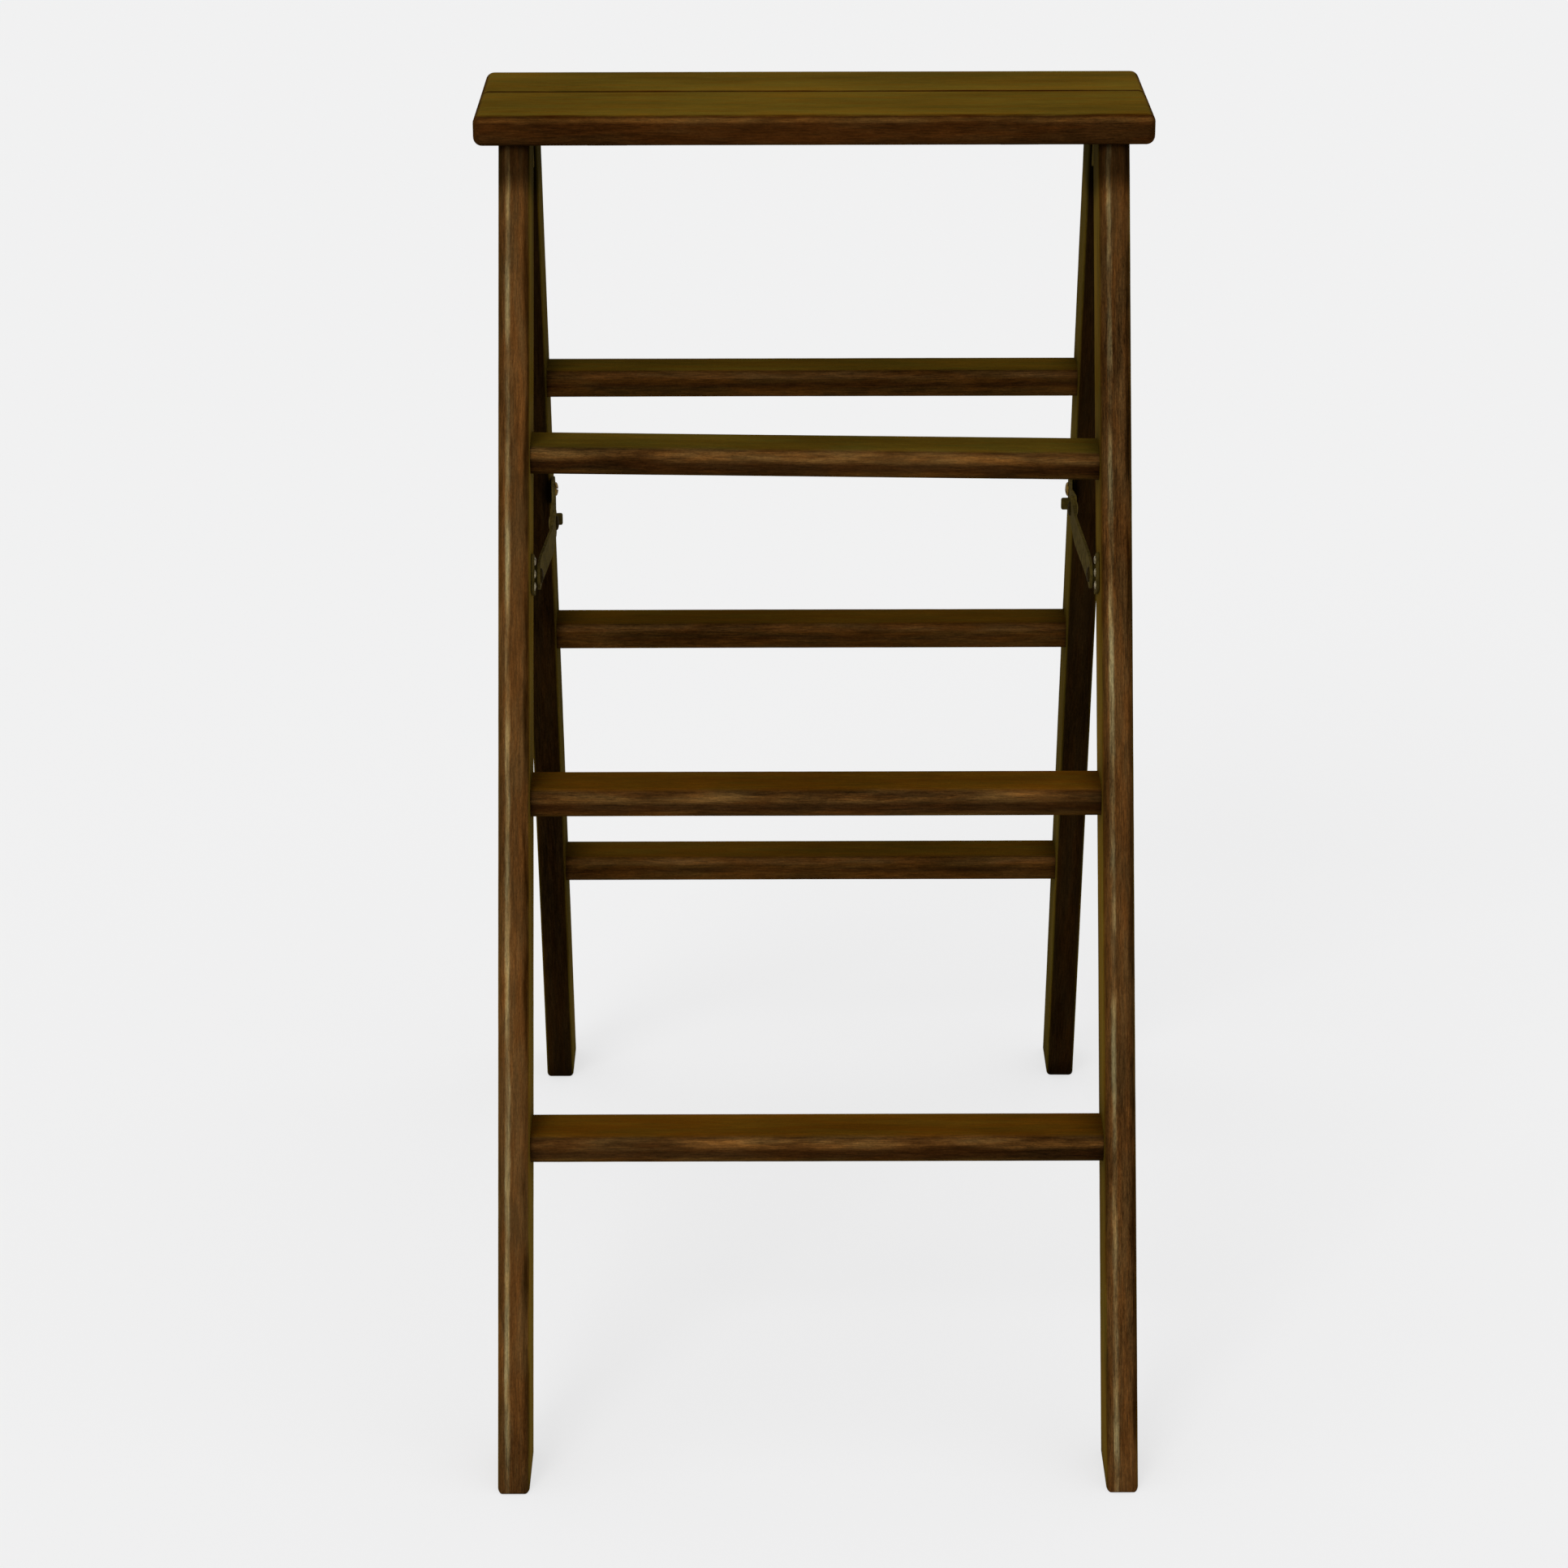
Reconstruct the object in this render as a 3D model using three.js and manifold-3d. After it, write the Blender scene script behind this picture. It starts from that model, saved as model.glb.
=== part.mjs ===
// A folding wooden stepladder used as a shelf: two leaning frames of rails and treads under a
// two-board top, hinged together at the top and held open by a folding steel stay on each side.
// Millimetres, +Z up, +X to the right, the front frame towards -Y. The ladder stands open.
import * as THREE from "three";
import { mergeVertices } from "three/addons/utils/BufferGeometryUtils.js";
import Module from "manifold-3d";

const wasm = await Module();
wasm.setup();

// ---- driving dimensions ----
const HEIGHT = 914.4;
const RISES = 4; // equal steps from the floor to the top
const RISER = HEIGHT / RISES;
const STOCK = 23; // thickness of the boards and rails
const RAIL_DEPTH = 61;
const OUTER_WIDTH = 455; // over the rails
const FRONT_LEAN = THREE.MathUtils.degToRad(22.5);
const REAR_LEAN = THREE.MathUtils.degToRad(17.5);
const EDGE_RADIUS = 6.5;
const CLEARANCE = 0.3;
const HALF_CLEARANCE = CLEARANCE / 2;

const TOP_WIDTH = 490;
const TOP_DEPTH = 171;
const FRONT_BOARD_DEPTH = 90;
const BOARD_SEAM = 1.2;
const SEAM_RADIUS = 1;
const RAIL_SETBACK = 9.2; // from the top's edge to a rail's outer face
const RAIL_HOUSING = 6; // how far a front rail goes up into the board

const TREAD_DEPTH = 44;
const TREAD_THICKNESS = 22;
const TREAD_NOSE_RADIUS = 8;
const TREAD_BACK_RADIUS = 4;
const TREAD_HOUSING = 7; // how far a tread goes into a rail
const UPPER_TREAD_TILT = THREE.MathUtils.degToRad(0.8); // its right end is low
// How far above its even step each hand-set tread sits.
const TREAD_OFFSETS = {
  front: { upper: 0, middle: 2.6, lower: 2.6 },
  rear: { upper: -5, middle: -4.2, lower: -3.2 },
};

const BATTEN_WIDTH = 32;
const BATTEN_THICKNESS = 8;
const BATTEN_FRONT = -42;
const BATTEN_BACK = 60;
const BATTEN_OFFSET = 150; // from the middle of the ladder
const BATTEN_RADIUS = 2;
const BATTEN_SCREW_FRONT = -24;
const BATTEN_SCREW_REAR = 42;

const HINGE_WIDTH = 18;
const LEAF_THICKNESS = 1.6;
const TOP_LEAF_LENGTH = 17;
const RAIL_LEAF_LENGTH = 36;
const BARREL_RADIUS = 3;
const PIN_RADIUS = 1.5;
const PIN_BORE_RADIUS = 1.58;
const PIN_DROP = 3.6; // below the underside of the boards
const PIN_STANDOFF = 4.6; // from the rear rail's inner face

const FRONT_STAY_DROP = 307; // along the rail, from its top outer corner to the stay's pivot
const REAR_STAY_DROP = 317;
const FRONT_PIVOT_DEPTH = 40; // in from the rail's outer face
// The hand-set right pivot is a little deeper, so the right stay stands bent up a little more.
const REAR_PIVOT_DEPTH = { left: 45, right: 46.8 };
const LEFT_KNUCKLE_RISE = 6; // above the straight line between the left stay's pivots
const STAY_HEIGHT = 20;
const STAY_THICKNESS = 2;
const RAIL_END_FLAT = 14; // an arm is flat for this long past its rail pivot
const KNUCKLE_FLAT = 50;
const FRONT_ARM_STANDOFF = 3.8; // from the rail's side to the arm, at its rail end
const REAR_ARM_STANDOFF = 0.6;
const KNUCKLE_STANDOFF = 6.2; // from the rail's side to the rear arm, at the knuckle
const PLATE_WIDTH = 30;
const PLATE_LENGTH = 28;
const PLATE_THICKNESS = 1.6;
const PLATE_GAP = 0.2;
const PLATE_RADIUS = 3;
const PLATE_BOSS_RADIUS = 7;
const PLATE_SCREW_SPACING = 9;
const PLATE_SCREW_OFFSET = 14; // the row of screws is this far in front of the pivot
const PLATE_SCREW = { radius: 1.6, head: 3, headHeight: 1.3, length: 16 };
const RIVET_RADIUS = 3;
const RIVET_BORE_RADIUS = 3.1;
const RIVET_HEAD_RADIUS = 5.5;
const RIVET_HEAD_HEIGHT = 2;
const KNUCKLE_BOSS_HEIGHT = 1.4;
const PIVOT_HEAD_HEIGHT = 2.6;
const PIVOT_SCREW_LENGTH = 20;
// The thumb tab, bent inwards at the front arm's end, stands out less on the left.
const TAB_REACH = { left: 4, right: 6 };
const TAB_THICKNESS = 2;
const TAB_BOTTOM = -4;
const TAB_TOP = 5;

// ---- sizes that follow from them ----
const UNDERSIDE = HEIGHT - STOCK;
const OUTER_FACE = OUTER_WIDTH / 2;
const INNER_FACE = OUTER_FACE - STOCK;
const RAIL_CENTRE = OUTER_FACE - STOCK / 2;
const RAIL_TOP_Y = TOP_DEPTH / 2 - RAIL_SETBACK;
const SEAM_Y = -TOP_DEPTH / 2 + FRONT_BOARD_DEPTH;
const FRONT_FOOT_Y = -RAIL_TOP_Y - UNDERSIDE * Math.tan(FRONT_LEAN);
const REAR_FOOT_Y = RAIL_TOP_Y + UNDERSIDE * Math.tan(REAR_LEAN);
const BEYOND = 60; // how far a cutting shape runs past what it cuts

const SIDES = [
  ["left", -1],
  ["right", 1],
];

// ---- materials ----
const railWood = new THREE.MeshStandardMaterial({ color: 0x4a2f16, roughness: 0.5, metalness: 0 });
const treadWood = new THREE.MeshStandardMaterial({ color: 0x54351a, roughness: 0.45, metalness: 0 });
const topWood = new THREE.MeshStandardMaterial({ color: 0x5c4414, roughness: 0.5, metalness: 0 });
const staySteel = new THREE.MeshStandardMaterial({ color: 0x8a8464, roughness: 0.45, metalness: 0.8 });
const screwSteel = new THREE.MeshStandardMaterial({ color: 0x9a968c, roughness: 0.3, metalness: 0.9 });

// ---- solids ----
function solidOf(geometry) {
  const bare = geometry.clone();
  bare.deleteAttribute("normal");
  bare.deleteAttribute("uv");
  const merged = mergeVertices(bare, 1e-4);
  return new wasm.Manifold(
    new wasm.Mesh({
      numProp: 3,
      vertProperties: merged.attributes.position.array,
      triVerts: new Uint32Array(merged.index.array),
    }),
  );
}

function meshOf(name, solid, material) {
  const { vertProperties, triVerts } = solid.getMesh();
  const geometry = new THREE.BufferGeometry();
  geometry.setAttribute("position", new THREE.BufferAttribute(vertProperties, 3));
  geometry.setIndex(new THREE.BufferAttribute(triVerts, 1));
  geometry.computeVertexNormals();
  const mesh = new THREE.Mesh(geometry, material);
  mesh.name = name;
  return mesh;
}

// A box between two limits on each axis.
function block([x1, x2], [y1, y2], [z1, z2]) {
  const box = new THREE.BoxGeometry(Math.abs(x2 - x1), Math.abs(y2 - y1), Math.abs(z2 - z1));
  return box.translate((x1 + x2) / 2, (y1 + y2) / 2, (z1 + z2) / 2);
}

// A rectangle with rounded corners; those towards -x can have a radius of their own.
function roundedRectangle(width, height, radius, leftRadius = radius) {
  const x = width / 2 - radius;
  const y = height / 2 - radius;
  const leftX = leftRadius - width / 2;
  const leftY = height / 2 - leftRadius;
  const shape = new THREE.Shape();
  shape.absarc(x, y, radius, 0, Math.PI / 2);
  shape.absarc(leftX, leftY, leftRadius, Math.PI / 2, Math.PI);
  shape.absarc(leftX, -leftY, leftRadius, Math.PI, 1.5 * Math.PI);
  shape.absarc(x, -y, radius, 1.5 * Math.PI, 2 * Math.PI);
  return shape;
}

function extruded(shape, length, arcSteps = 2) {
  const options = { depth: length, bevelEnabled: false, curveSegments: arcSteps };
  return new THREE.ExtrudeGeometry(shape, options).translate(0, 0, -length / 2);
}

// An extrusion along X: the shape's x becomes Y, and its y becomes Z.
const ALONG_X = new THREE.Matrix4().makeBasis(
  new THREE.Vector3(0, 1, 0),
  new THREE.Vector3(0, 0, 1),
  new THREE.Vector3(1, 0, 0),
);

function extrudedAlongX(shape, length, arcSteps = 2) {
  return extruded(shape, length, arcSteps).applyMatrix4(ALONG_X);
}

// A cylinder along X.
function rod(radius, [x1, x2], y, z, sides = 12) {
  const cylinder = new THREE.CylinderGeometry(radius, radius, Math.abs(x2 - x1), sides);
  return cylinder.rotateZ(Math.PI / 2).translate((x1 + x2) / 2, y, z);
}

// ---- screws and rivets ----
// A turned shape whose head is at the origin and whose shank runs along `direction`.
function turned(profile, direction, position, sides = 10) {
  const points = profile.map(([radius, along]) => new THREE.Vector2(radius, along));
  const lathe = new THREE.LatheGeometry(points, sides);
  const turn = new THREE.Quaternion().setFromUnitVectors(new THREE.Vector3(0, 1, 0), direction);
  return lathe.applyQuaternion(turn).translate(...position);
}

// A countersunk screw, its head flush at the origin.
function countersunkProfile({ radius, head, length }) {
  return [
    [0, 0],
    [head, 0],
    [head, SCREW_RIM],
    [radius, SCREW_RIM + head - radius],
    [radius, length - 2 * radius],
    [0, length],
  ];
}

function countersunkHoleProfile({ radius, head, length }) {
  return [
    [0, -SCREW_RIM],
    [head + CLEARANCE, -SCREW_RIM],
    [head + CLEARANCE, SCREW_RIM],
    [radius + CLEARANCE, SCREW_RIM + head - radius],
    [radius + CLEARANCE, length + CLEARANCE],
    [0, length + CLEARANCE],
  ];
}

// A round-headed fastener, the underside of its head at the origin.
function roundHeadProfile(radius, headRadius, headHeight, length) {
  return [
    [0, -headHeight],
    [headRadius * 0.6, -headHeight * 0.8],
    [headRadius * 0.92, -headHeight * 0.4],
    [headRadius, 0],
    [radius, 0],
    [radius, length],
    [0, length],
  ];
}

const SCREW_RIM = 0.4; // the straight edge of a countersunk head
const screwSizes = {
  tread: { radius: 2.2, head: 4.4, length: 44 },
  batten: { radius: 1.8, head: 3.6, length: 21 },
  hinge: { radius: 1.5, head: 2.8, length: 15 },
};

function screwSolid(size, direction, position) {
  return solidOf(turned(countersunkProfile(screwSizes[size]), direction, position));
}

function screwHole(size, direction, position) {
  return solidOf(turned(countersunkHoleProfile(screwSizes[size]), direction, position));
}

// ---- a leaning frame, in its own coordinates ----
// Its origin is at the rails' top outer corner. +Y runs in through the rail's depth, and -Z runs
// down along the rail. levelZ gives the z, at a depth y, of a level plane `drop` below the boards.
function levelZ(lean, drop, y) {
  return (y * Math.sin(lean) - drop) / Math.cos(lean);
}

// A block that fills everything above (up = 1) or below (up = -1) a level plane, around one rail.
function levelBlock(lean, drop, up, x) {
  const size = 6 * RAIL_DEPTH;
  return solidOf(
    block([-BEYOND, BEYOND], [-size, size], [0, up * size])
      .rotateX(lean)
      .translate(x, 0, levelZ(lean, drop, 0)),
  );
}

function treadGeometry(lean, drop, tilt, grow) {
  const section = roundedRectangle(
    TREAD_DEPTH + 2 * grow,
    TREAD_THICKNESS + 2 * grow,
    TREAD_BACK_RADIUS + grow,
    TREAD_NOSE_RADIUS + grow,
  );
  const length = 2 * (INNER_FACE + TREAD_HOUSING - HALF_CLEARANCE + grow);
  const middle = RAIL_DEPTH / 2;
  return extrudedAlongX(section, length)
    .rotateY(tilt)
    .rotateX(lean)
    .translate(0, middle, levelZ(lean, drop + TREAD_THICKNESS / 2, middle));
}

// Rails, treads and their screws. `treads` lists the level drop and the tilt of each tread.
// In the rear frame, which is turned to face the other way, left and right change places.
function makeFrame(prefix, lean, treads, topDrop, facing, extraHoles) {
  const frame = new THREE.Group();
  const holes = { left: [], right: [] };
  const treadHoles = treads.map(() => []);
  treads.forEach(({ drop, tilt, label }, i) => {
    for (const [sideName, side] of SIDES) {
      const x = side * facing * OUTER_FACE;
      const centreDrop = drop + TREAD_THICKNESS / 2 + side * facing * INNER_FACE * Math.sin(tilt);
      const y = RAIL_DEPTH / 2;
      const position = [x, y, levelZ(lean, centreDrop, y)];
      const direction = new THREE.Vector3(-side * facing, 0, 0);
      const name = `${prefix}_screw_${label}_${sideName}`;
      frame.add(meshOf(name, screwSolid("tread", direction, position), screwSteel));
      const hole = screwHole("tread", direction, position);
      holes[sideName].push(hole);
      treadHoles[i].push(hole);
    }
  });

  treads.forEach(({ drop, tilt, label }, i) => {
    let tread = solidOf(treadGeometry(lean, drop, tilt, 0));
    for (const hole of treadHoles[i]) tread = tread.subtract(hole);
    frame.add(meshOf(`${prefix}_tread_${label}`, tread, treadWood));
  });

  for (const [sideName, side] of SIDES) {
    const x = side * facing * RAIL_CENTRE;
    const length = (UNDERSIDE + 4 * RAIL_DEPTH) / Math.cos(lean);
    const section = roundedRectangle(STOCK, RAIL_DEPTH, EDGE_RADIUS);
    let rail = solidOf(
      extruded(section, length).translate(x, RAIL_DEPTH / 2, BEYOND - length / 2),
    );
    rail = rail.subtract(levelBlock(lean, topDrop, 1, x));
    rail = rail.subtract(levelBlock(lean, UNDERSIDE, -1, x));
    for (const { drop, tilt } of treads) {
      rail = rail.subtract(solidOf(treadGeometry(lean, drop, tilt, HALF_CLEARANCE)));
    }
    for (const hole of [...holes[sideName], ...extraHoles[sideName]]) rail = rail.subtract(hole);
    frame.add(meshOf(`${prefix}_rail_${sideName}`, rail, railWood));
  }
  frame.position.set(0, -RAIL_TOP_Y, UNDERSIDE);
  frame.rotation.x = -lean;
  return frame;
}

// A point of a frame at depth y and height z, as [y, z] in the ladder's coordinates.
function frontPoint(y, z) {
  return [
    -RAIL_TOP_Y + y * Math.cos(FRONT_LEAN) + z * Math.sin(FRONT_LEAN),
    UNDERSIDE - y * Math.sin(FRONT_LEAN) + z * Math.cos(FRONT_LEAN),
  ];
}

function rearPoint(y, z) {
  return [
    RAIL_TOP_Y - y * Math.cos(REAR_LEAN) - z * Math.sin(REAR_LEAN),
    UNDERSIDE - y * Math.sin(REAR_LEAN) + z * Math.cos(REAR_LEAN),
  ];
}

// ---- the two-board top and its battens ----
function topBoard(name, depthFrom, depthTo, cuts) {
  // The outer edge is rounded, and the edge at the seam only eased.
  const outer = Math.abs(depthFrom) > Math.abs(depthTo) ? depthFrom : depthTo;
  const inner = outer === depthFrom ? depthTo : depthFrom;
  const toSeam = Math.sign(inner - outer);
  const middle = HEIGHT - STOCK / 2;
  const wide = Math.abs(inner - outer) + BEYOND;
  const rounded = extrudedAlongX(roundedRectangle(wide, STOCK, EDGE_RADIUS), TOP_WIDTH);
  const eased = extrudedAlongX(roundedRectangle(wide, STOCK, SEAM_RADIUS), TOP_WIDTH);
  let board = solidOf(rounded.translate(0, outer + (toSeam * wide) / 2, middle));
  board = board.intersect(solidOf(eased.translate(0, inner - (toSeam * wide) / 2, middle)));
  const ends = extruded(roundedRectangle(TOP_WIDTH, STOCK, EDGE_RADIUS), 2 * TOP_DEPTH);
  board = board.intersect(solidOf(ends.rotateX(Math.PI / 2).translate(0, 0, middle)));
  const plan = extruded(roundedRectangle(TOP_WIDTH, TOP_DEPTH, EDGE_RADIUS), 2 * STOCK);
  board = board.intersect(solidOf(plan.translate(0, 0, middle)));
  for (const cut of cuts) board = board.subtract(cut);
  return meshOf(name, board, topWood);
}

// The pocket in the front board that takes one front rail's top end.
function railPocket(side) {
  const section = roundedRectangle(
    STOCK + CLEARANCE,
    RAIL_DEPTH + CLEARANCE,
    EDGE_RADIUS + HALF_CLEARANCE,
  );
  const long = extruded(section, 4 * RAIL_DEPTH)
    .translate(side * RAIL_CENTRE, RAIL_DEPTH / 2, 0)
    .rotateX(-FRONT_LEAN)
    .translate(0, -RAIL_TOP_Y, UNDERSIDE);
  const pocketTop = UNDERSIDE + RAIL_HOUSING + HALF_CLEARANCE;
  const below = block([-TOP_WIDTH, TOP_WIDTH], [-TOP_DEPTH, TOP_DEPTH], [0, pocketTop]);
  return solidOf(long).intersect(solidOf(below));
}

function makeTop(hingeHoles) {
  const top = new THREE.Group();
  const up = new THREE.Vector3(0, 0, 1);
  const battenFace = UNDERSIDE - CLEARANCE - BATTEN_THICKNESS;
  const cuts = { front: SIDES.map(([, side]) => railPocket(side)), rear: [] };
  for (const [sideName, side] of SIDES) {
    const x = side * BATTEN_OFFSET;
    const batten = extruded(
      roundedRectangle(BATTEN_WIDTH, BATTEN_BACK - BATTEN_FRONT, BATTEN_RADIUS),
      BATTEN_THICKNESS,
    ).translate(x, (BATTEN_BACK + BATTEN_FRONT) / 2, battenFace + BATTEN_THICKNESS / 2);
    let solid = solidOf(batten);
    for (const [board, y] of [["front", BATTEN_SCREW_FRONT], ["rear", BATTEN_SCREW_REAR]]) {
      const position = [x, y, battenFace];
      const hole = screwHole("batten", up, position);
      cuts[board].push(hole);
      solid = solid.subtract(hole);
      const screw = screwSolid("batten", up, position);
      top.add(meshOf(`batten_screw_${board}_${sideName}`, screw, screwSteel));
    }
    top.add(meshOf(`top_batten_${sideName}`, solid, railWood));
  }
  cuts.front.push(...hingeHoles);
  const seamFront = SEAM_Y - BOARD_SEAM / 2;
  const seamRear = SEAM_Y + BOARD_SEAM / 2;
  top.add(topBoard("top_board_front", -TOP_DEPTH / 2, seamFront, cuts.front));
  top.add(topBoard("top_board_rear", TOP_DEPTH / 2, seamRear, cuts.rear));
  return top;
}

// ---- the butt hinges between the top and the rear rails ----
const PIN_DEPTH = RAIL_DEPTH + PIN_STANDOFF;
const PIN_Z = levelZ(REAR_LEAN, PIN_DROP, PIN_DEPTH);
const [PIN_WORLD_Y, PIN_WORLD_Z] = rearPoint(PIN_DEPTH, PIN_Z);
const KNUCKLE_LENGTH = (HINGE_WIDTH - 2 * CLEARANCE) / 3;

// The hinge barrel's two outer knuckles or its middle one, about a pin at [y, z].
function barrel(knuckles, x, y, z) {
  const bore = solidOf(rod(PIN_BORE_RADIUS, [x - BEYOND, x + BEYOND], y, z, 24));
  const offsets = knuckles === "outer" ? [-1, 1] : [0];
  const rings = offsets.map((offset) => {
    const centre = x + offset * (KNUCKLE_LENGTH + CLEARANCE);
    const span = [centre - KNUCKLE_LENGTH / 2, centre + KNUCKLE_LENGTH / 2];
    return { solid: solidOf(rod(BARREL_RADIUS, span, y, z, 24)), span };
  });
  return { rings, bore };
}

// A leaf: a plate joined to its knuckles, cut back round the other leaf's knuckles.
function leafSolid(knuckles, x, y, z, plate, screwHoles) {
  const { rings, bore } = barrel(knuckles, x, y, z);
  const others = barrel(knuckles === "outer" ? "inner" : "outer", x, y, z);
  let solid = solidOf(plate);
  for (const { span } of others.rings) {
    const room = [span[0] - CLEARANCE, span[1] + CLEARANCE];
    solid = solid.subtract(solidOf(rod(BARREL_RADIUS + CLEARANCE, room, y, z, 24)));
  }
  for (const ring of rings) solid = solid.add(ring.solid);
  solid = solid.subtract(bore);
  for (const hole of screwHoles) solid = solid.subtract(hole);
  return solid;
}

function makeTopLeaves() {
  const group = new THREE.Group();
  const holes = [];
  const up = new THREE.Vector3(0, 0, 1);
  const faceZ = UNDERSIDE - CLEARANCE - LEAF_THICKNESS;
  for (const [sideName, side] of SIDES) {
    const x = side * RAIL_CENTRE;
    const position = [x, PIN_WORLD_Y - TOP_LEAF_LENGTH * 0.66, faceZ];
    const hole = screwHole("hinge", up, position);
    holes.push(hole);
    const plate = block(
      [x - HINGE_WIDTH / 2, x + HINGE_WIDTH / 2],
      [PIN_WORLD_Y - TOP_LEAF_LENGTH, PIN_WORLD_Y],
      [faceZ, faceZ + LEAF_THICKNESS],
    );
    const leaf = leafSolid("outer", x, PIN_WORLD_Y, PIN_WORLD_Z, plate, [hole]);
    group.add(meshOf(`hinge_leaf_top_${sideName}`, leaf, staySteel));
    const screw = screwSolid("hinge", up, position);
    group.add(meshOf(`hinge_screw_top_${sideName}`, screw, screwSteel));
    const span = [x - HINGE_WIDTH / 2, x + HINGE_WIDTH / 2];
    const pin = solidOf(rod(PIN_RADIUS, span, PIN_WORLD_Y, PIN_WORLD_Z, 24));
    group.add(meshOf(`hinge_pin_${sideName}`, pin, screwSteel));
  }
  return { group, holes };
}

// The rail leaves are made in the rear frame's own coordinates, turned to face the other way.
function makeRailLeaves(facing) {
  const meshes = [];
  const holes = { left: [], right: [] };
  const outward = new THREE.Vector3(0, -1, 0);
  const faceY = RAIL_DEPTH + CLEARANCE + LEAF_THICKNESS;
  for (const [sideName, side] of SIDES) {
    const x = side * facing * RAIL_CENTRE;
    const plate = block(
      [x - HINGE_WIDTH / 2, x + HINGE_WIDTH / 2],
      [RAIL_DEPTH + CLEARANCE, faceY],
      [PIN_Z - RAIL_LEAF_LENGTH, PIN_Z],
    );
    const leafHoles = [];
    for (const [label, share] of [["upper", 0.42], ["lower", 0.8]]) {
      const position = [x, faceY, PIN_Z - share * RAIL_LEAF_LENGTH];
      leafHoles.push(screwHole("hinge", outward, position));
      const screw = screwSolid("hinge", outward, position);
      meshes.push(meshOf(`hinge_screw_${label}_${sideName}`, screw, screwSteel));
    }
    const leaf = leafSolid("inner", x, PIN_DEPTH, PIN_Z, plate, leafHoles);
    meshes.push(meshOf(`hinge_leaf_rail_${sideName}`, leaf, staySteel));
    holes[sideName].push(...leafHoles);
  }
  return { meshes, holes };
}

// ---- the folding stays ----
// The line between one stay's pivots: its two ends, half its length and its slope.
function stayLine(sideName) {
  const front = frontPoint(FRONT_PIVOT_DEPTH, -FRONT_STAY_DROP);
  const rear = rearPoint(REAR_PIVOT_DEPTH[sideName], -REAR_STAY_DROP);
  const [run, fall] = [rear[0] - front[0], rear[1] - front[1]];
  return { front, rear, half: Math.hypot(run, fall) / 2, slope: Math.atan2(fall, run) };
}

const ARM_LENGTH = Math.hypot(stayLine("left").half, LEFT_KNUCKLE_RISE);

// One arm from its rail pivot at y = 0 to the knuckle at y = direction * ARM_LENGTH: a strip with
// round ends, flat at both, that steps in from railX to knuckleX between them.
function armStrip(direction, railX, knuckleX, side) {
  const half = STAY_HEIGHT / 2;
  const end = ARM_LENGTH + half;
  const edge = (offset) => [
    [railX + side * offset, -half],
    [railX + side * offset, RAIL_END_FLAT],
    [knuckleX + side * offset, ARM_LENGTH - KNUCKLE_FLAT],
    [knuckleX + side * offset, end],
  ];
  const outline = [...edge(0), ...edge(STAY_THICKNESS).reverse()];
  const profile = new THREE.Shape(outline.map(([x, y]) => new THREE.Vector2(x, direction * y)));
  const strip = solidOf(extruded(profile, STAY_HEIGHT));
  const plan = roundedRectangle(ARM_LENGTH + STAY_HEIGHT, STAY_HEIGHT, half - 0.01);
  const ends = extrudedAlongX(plan, 2 * OUTER_WIDTH, 4);
  return strip.intersect(solidOf(ends.translate(0, (direction * ARM_LENGTH) / 2, 0)));
}

// A span along X that runs well past a part at x.
const spanAround = (x) => [x - BEYOND / 4, x + BEYOND / 4];

function frontArm(sideName, side) {
  const railX = side * (INNER_FACE - FRONT_ARM_STANDOFF - STAY_THICKNESS);
  const knuckleX = side * (INNER_FACE - KNUCKLE_STANDOFF - 2 * STAY_THICKNESS - CLEARANCE);
  let arm = armStrip(1, railX, knuckleX, side);
  const tabEnd = ARM_LENGTH + STAY_HEIGHT / 2 - CLEARANCE;
  const tab = block(
    [knuckleX + side, knuckleX - side * TAB_REACH[sideName]],
    [tabEnd - TAB_THICKNESS, tabEnd],
    [TAB_BOTTOM, TAB_TOP],
  );
  arm = arm.add(solidOf(tab));
  arm = arm.subtract(solidOf(rod(RIVET_BORE_RADIUS, spanAround(railX), 0, 0, 24)));
  const knuckleHole = rod(RIVET_RADIUS + CLEARANCE, spanAround(knuckleX), ARM_LENGTH, 0);
  arm = arm.subtract(solidOf(knuckleHole));
  return meshOf(`stay_front_arm_${sideName}`, arm, staySteel);
}

// The knuckle rivet stays with the front arm; its closed end is formed on the rear arm.
function knuckleRivet(sideName, side) {
  const inner = INNER_FACE - KNUCKLE_STANDOFF - 2 * STAY_THICKNESS - CLEARANCE;
  const head = [side * (inner - HALF_CLEARANCE), ARM_LENGTH, 0];
  const profile = roundHeadProfile(
    RIVET_RADIUS,
    RIVET_HEAD_RADIUS,
    RIVET_HEAD_HEIGHT,
    STAY_THICKNESS + HALF_CLEARANCE,
  );
  const rivet = turned(profile, new THREE.Vector3(side, 0, 0), head, 12);
  return meshOf(`stay_knuckle_rivet_${sideName}`, solidOf(rivet), screwSteel);
}

function rearArm(sideName, side) {
  const railX = side * (INNER_FACE - REAR_ARM_STANDOFF - STAY_THICKNESS);
  const knuckleX = side * (INNER_FACE - KNUCKLE_STANDOFF - STAY_THICKNESS);
  let arm = armStrip(-1, railX, knuckleX, side);
  const outer = knuckleX + side * STAY_THICKNESS;
  const bossSpan = [outer - side, outer + side * KNUCKLE_BOSS_HEIGHT];
  arm = arm.add(solidOf(rod(RIVET_HEAD_RADIUS, bossSpan, -ARM_LENGTH, 0)));
  arm = arm.subtract(solidOf(rod(RIVET_BORE_RADIUS, spanAround(railX), 0, 0, 24)));
  return meshOf(`stay_rear_arm_${sideName}`, arm, staySteel);
}

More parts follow.
